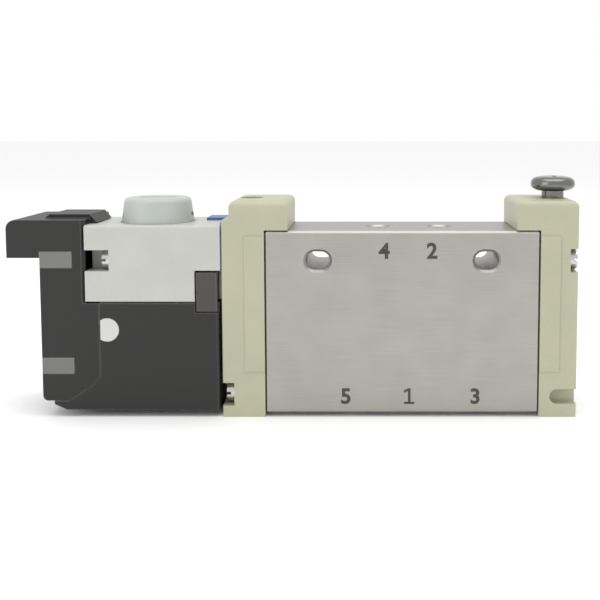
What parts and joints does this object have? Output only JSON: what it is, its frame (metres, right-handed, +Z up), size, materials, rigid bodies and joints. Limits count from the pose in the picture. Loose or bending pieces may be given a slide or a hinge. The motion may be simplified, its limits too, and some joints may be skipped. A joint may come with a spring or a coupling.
{
  "type": "solenoid directional valve",
  "caption": "Slim in-line solenoid valve: aluminium body with ports on two faces, moulded end caps, pilot valve, coil and plug socket.",
  "frame": {"origin": "on port 1's axis at the body's underside", "axes": "+X along the body towards the return spring, +Y across the body away from the printed side, +Z up"},
  "size_m": [0.0634, 0.0102, 0.0266],
  "materials": {
    "body_aluminium": "brushed along its length",
    "cap_plastic": "fine moulded texture",
    "pilot_plastic": "fine moulded texture",
    "override_plastic": "satin",
    "black_plastic": "fine moulded texture",
    "clip_plastic": "satin",
    "potting_white": "cast, slightly uneven",
    "window_plastic": "glossy, smoke grey",
    "screw_chrome": "bright plated",
    "bright_steel": "bright zinc plate",
    "blue_seal": "satin",
    "seal_rubber": "matt",
    "spacer_plastic": "matt",
    "spool_aluminium": "ground",
    "spring_steel": "drawn wire",
    "seat_brass": "turned",
    "contact_brass": "stamped",
    "copper_winding": "enamelled copper wire",
    "core_steel": "turned",
    "board_green": "satin lacquer",
    "led_plastic": "clear"
  },
  "bodies": {
    "root": {"valve_body": "body_aluminium", "gallery_plug": "bright_steel", "spacer_ring_1": "spacer_plastic", "spacer_ring_2": "spacer_plastic", "spacer_ring_3": "spacer_plastic", "spacer_ring_4": "spacer_plastic", "spacer_ring_5": "spacer_plastic", "spool_seal_1": "seal_rubber", "spool_seal_2": "seal_rubber", "spool_seal_3": "seal_rubber", "spool_seal_4": "seal_rubber", "spool_seal_5": "seal_rubber", "spool_seal_6": "seal_rubber", "left_guide_bush": "spacer_plastic", "right_guide_bush": "spacer_plastic", "return_spring": "spring_steel", "left_gasket": "seal_rubber", "right_gasket": "seal_rubber", "left_end_cap": "cap_plastic", "right_end_cap": "cap_plastic", "left_cap_screws": "bright_steel", "right_cap_screws": "bright_steel", "pilot_screws": "bright_steel", "pilot_housing": "pilot_plastic", "pilot_gasket": "blue_seal", "pilot_seat": "seat_brass", "override_spring": "spring_steel", "coil_body": "black_plastic", "coil_gasket": "seal_rubber", "bobbin": "spacer_plastic", "winding": "copper_winding", "yoke": "core_steel", "fixed_core": "core_steel", "armature_spring": "spring_steel", "potting_plug": "potting_white", "coil_terminals": "contact_brass", "retaining_clip": "clip_plastic", "plug_housing": "black_plastic", "upper_windows": "window_plastic", "lower_windows": "window_plastic", "circuit_board": "board_green", "indicator_led": "led_plastic", "socket_pins": "contact_brass"},
    "spool_group": {"spool": "spool_aluminium", "pilot_piston": "spacer_plastic", "piston_seal": "seal_rubber", "spring_seat": "spacer_plastic"},
    "override_press_group": {"override_plunger": "spacer_plastic"},
    "override_cap_group": {"override_cap": "override_plastic"},
    "armature_group": {"armature": "core_steel", "armature_pad": "seal_rubber"},
    "hold_down_group": {"hold_down_screw": "screw_chrome"}
  },
  "joints": [
    {"name": "spool_slide", "type": "slide", "parent": "root", "child": "spool_group", "axis": [1, 0, 0], "range_m": [0, 0.0016], "stiffness_N_per_m": 100, "springref_m": -0.002, "deforming": ["return_spring"]},
    {"name": "override_press", "type": "slide", "parent": "root", "child": "override_press_group", "axis": [0, 0, -1], "range_m": [0, 0.001], "stiffness_N_per_m": 100, "springref_m": -0.001, "deforming": ["override_spring"]},
    {"name": "override_turn", "type": "hinge", "parent": "override_press_group", "child": "override_cap_group", "pos_m": [-0.0288, 0, 0.02], "axis": [0, 0, -1], "range_deg": [0, 90]},
    {"name": "armature_slide", "type": "slide", "parent": "root", "child": "armature_group", "axis": [0, 0, -1], "range_m": [0, 0.0004], "stiffness_N_per_m": 100, "springref_m": -0.001, "deforming": ["armature_spring"]},
    {"name": "hold_down_lift", "type": "slide", "parent": "root", "child": "hold_down_group", "axis": [0, 0, 1], "range_m": [-0.00085, 0.02]}
  ],
  "couplings": [
    {"joint": "armature_slide", "follows": "override_press", "ratio": 0.4}
  ]
}
